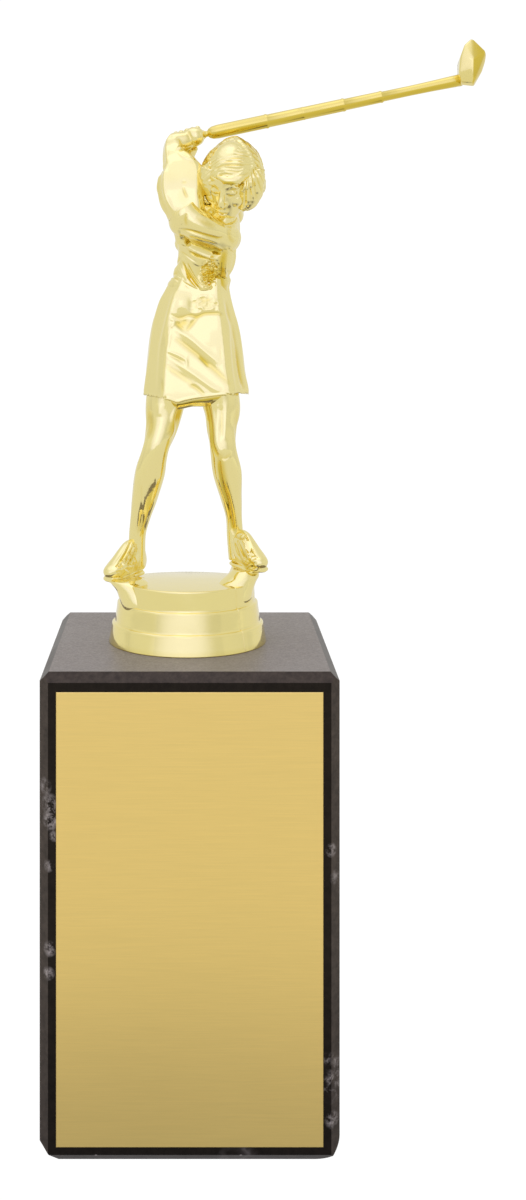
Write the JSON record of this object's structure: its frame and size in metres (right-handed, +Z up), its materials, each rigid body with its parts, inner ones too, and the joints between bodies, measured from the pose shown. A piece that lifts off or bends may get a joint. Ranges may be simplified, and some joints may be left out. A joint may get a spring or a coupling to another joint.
{
  "type": "column trophy",
  "caption": "Bevelled marble column trophy with a blank gold plate on its front and a gold-plated golfer on a tiered round base on top.",
  "frame": {"origin": "centre of the felt pad's underside, on the surface that the trophy stands on", "axes": "+Z up the column, -Y out of the plate at the front, +X to the side that the club points to"},
  "size_m": [0.1207, 0.0766, 0.2901],
  "materials": {
    "black_marble": "black marble, polished sides, honed top, sparse white veins",
    "gold_plate": "satin gold anodised",
    "tape": "double-sided tape",
    "gold_plating": "bright vacuum-metallised gold on moulded plastic",
    "zinc_steel": "bright zinc plated",
    "spring_steel": "dark spring steel",
    "felt": "black felt, self-adhesive"
  },
  "bodies": {
    "root": {"marble_block": "black_marble", "front_plate": "gold_plate", "plate_tape": "tape", "golfer_figure": "gold_plating", "threaded_rod": "zinc_steel", "captive_nut": "zinc_steel", "clamp_nut": "zinc_steel", "flat_washer": "zinc_steel", "spring_washer": "spring_steel", "felt_pad": "felt"}
  },
  "joints": []
}
